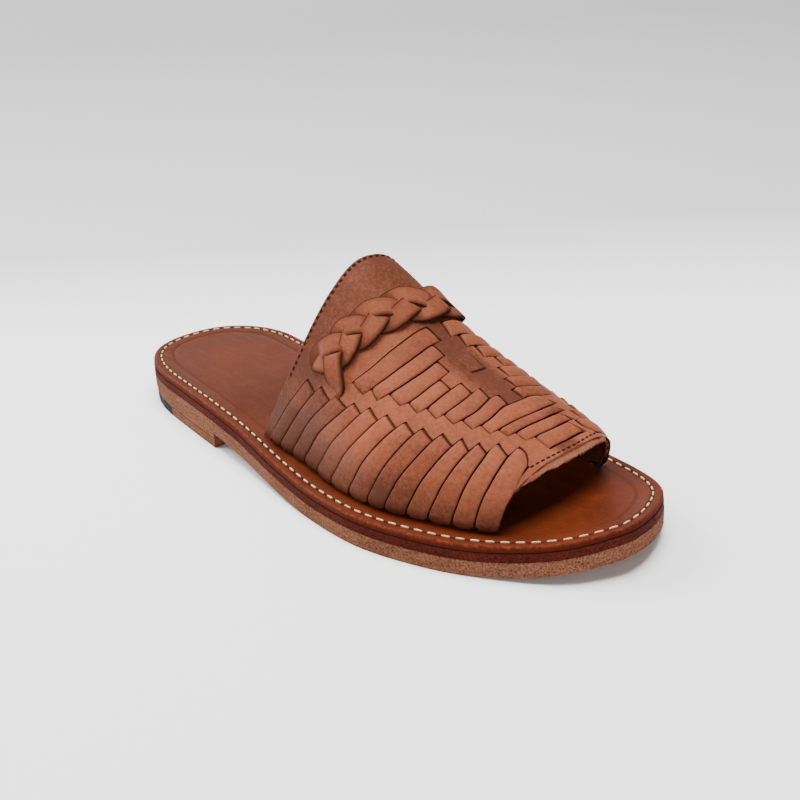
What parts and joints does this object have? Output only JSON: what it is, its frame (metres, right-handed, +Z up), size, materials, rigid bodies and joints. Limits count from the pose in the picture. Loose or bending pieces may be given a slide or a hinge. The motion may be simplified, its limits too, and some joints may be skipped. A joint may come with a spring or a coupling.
{
  "type": "huarache sandal",
  "caption": "Right-foot leather slide: woven strap vamp with a braid over the instep, open toe and heel, stitched footbed on a stacked leather sole with a low heel.",
  "frame": {"origin": "on the floor, under the middle of the sole's outline", "axes": "+X from heel to toe, +Y to the inner side of the foot (big toe side), +Z up"},
  "size_m": [0.256, 0.0946, 0.0808],
  "materials": {
    "outsole_leather": "raw fibrous cut edge, natural tan, matt",
    "midsole_leather": "burnished dark red-brown edge, satin",
    "footbed_leather": "smooth full-grain leather, polished red-brown, satin",
    "heel_rubber": "black moulded rubber, matt",
    "strap_leather": "mid-brown vegetable-tanned leather, fine grain, satin",
    "braid_leather": "mid-brown leather a little lighter than the vamp, raw edges"
  },
  "bodies": {
    "root": {"outsole": "outsole_leather", "midsole": "midsole_leather", "insole": "footbed_leather", "heel_block": "outsole_leather", "heel_tip_leather": "outsole_leather", "heel_tip_rubber": "heel_rubber", "upper": "strap_leather", "instep_braid": "braid_leather"}
  },
  "joints": []
}
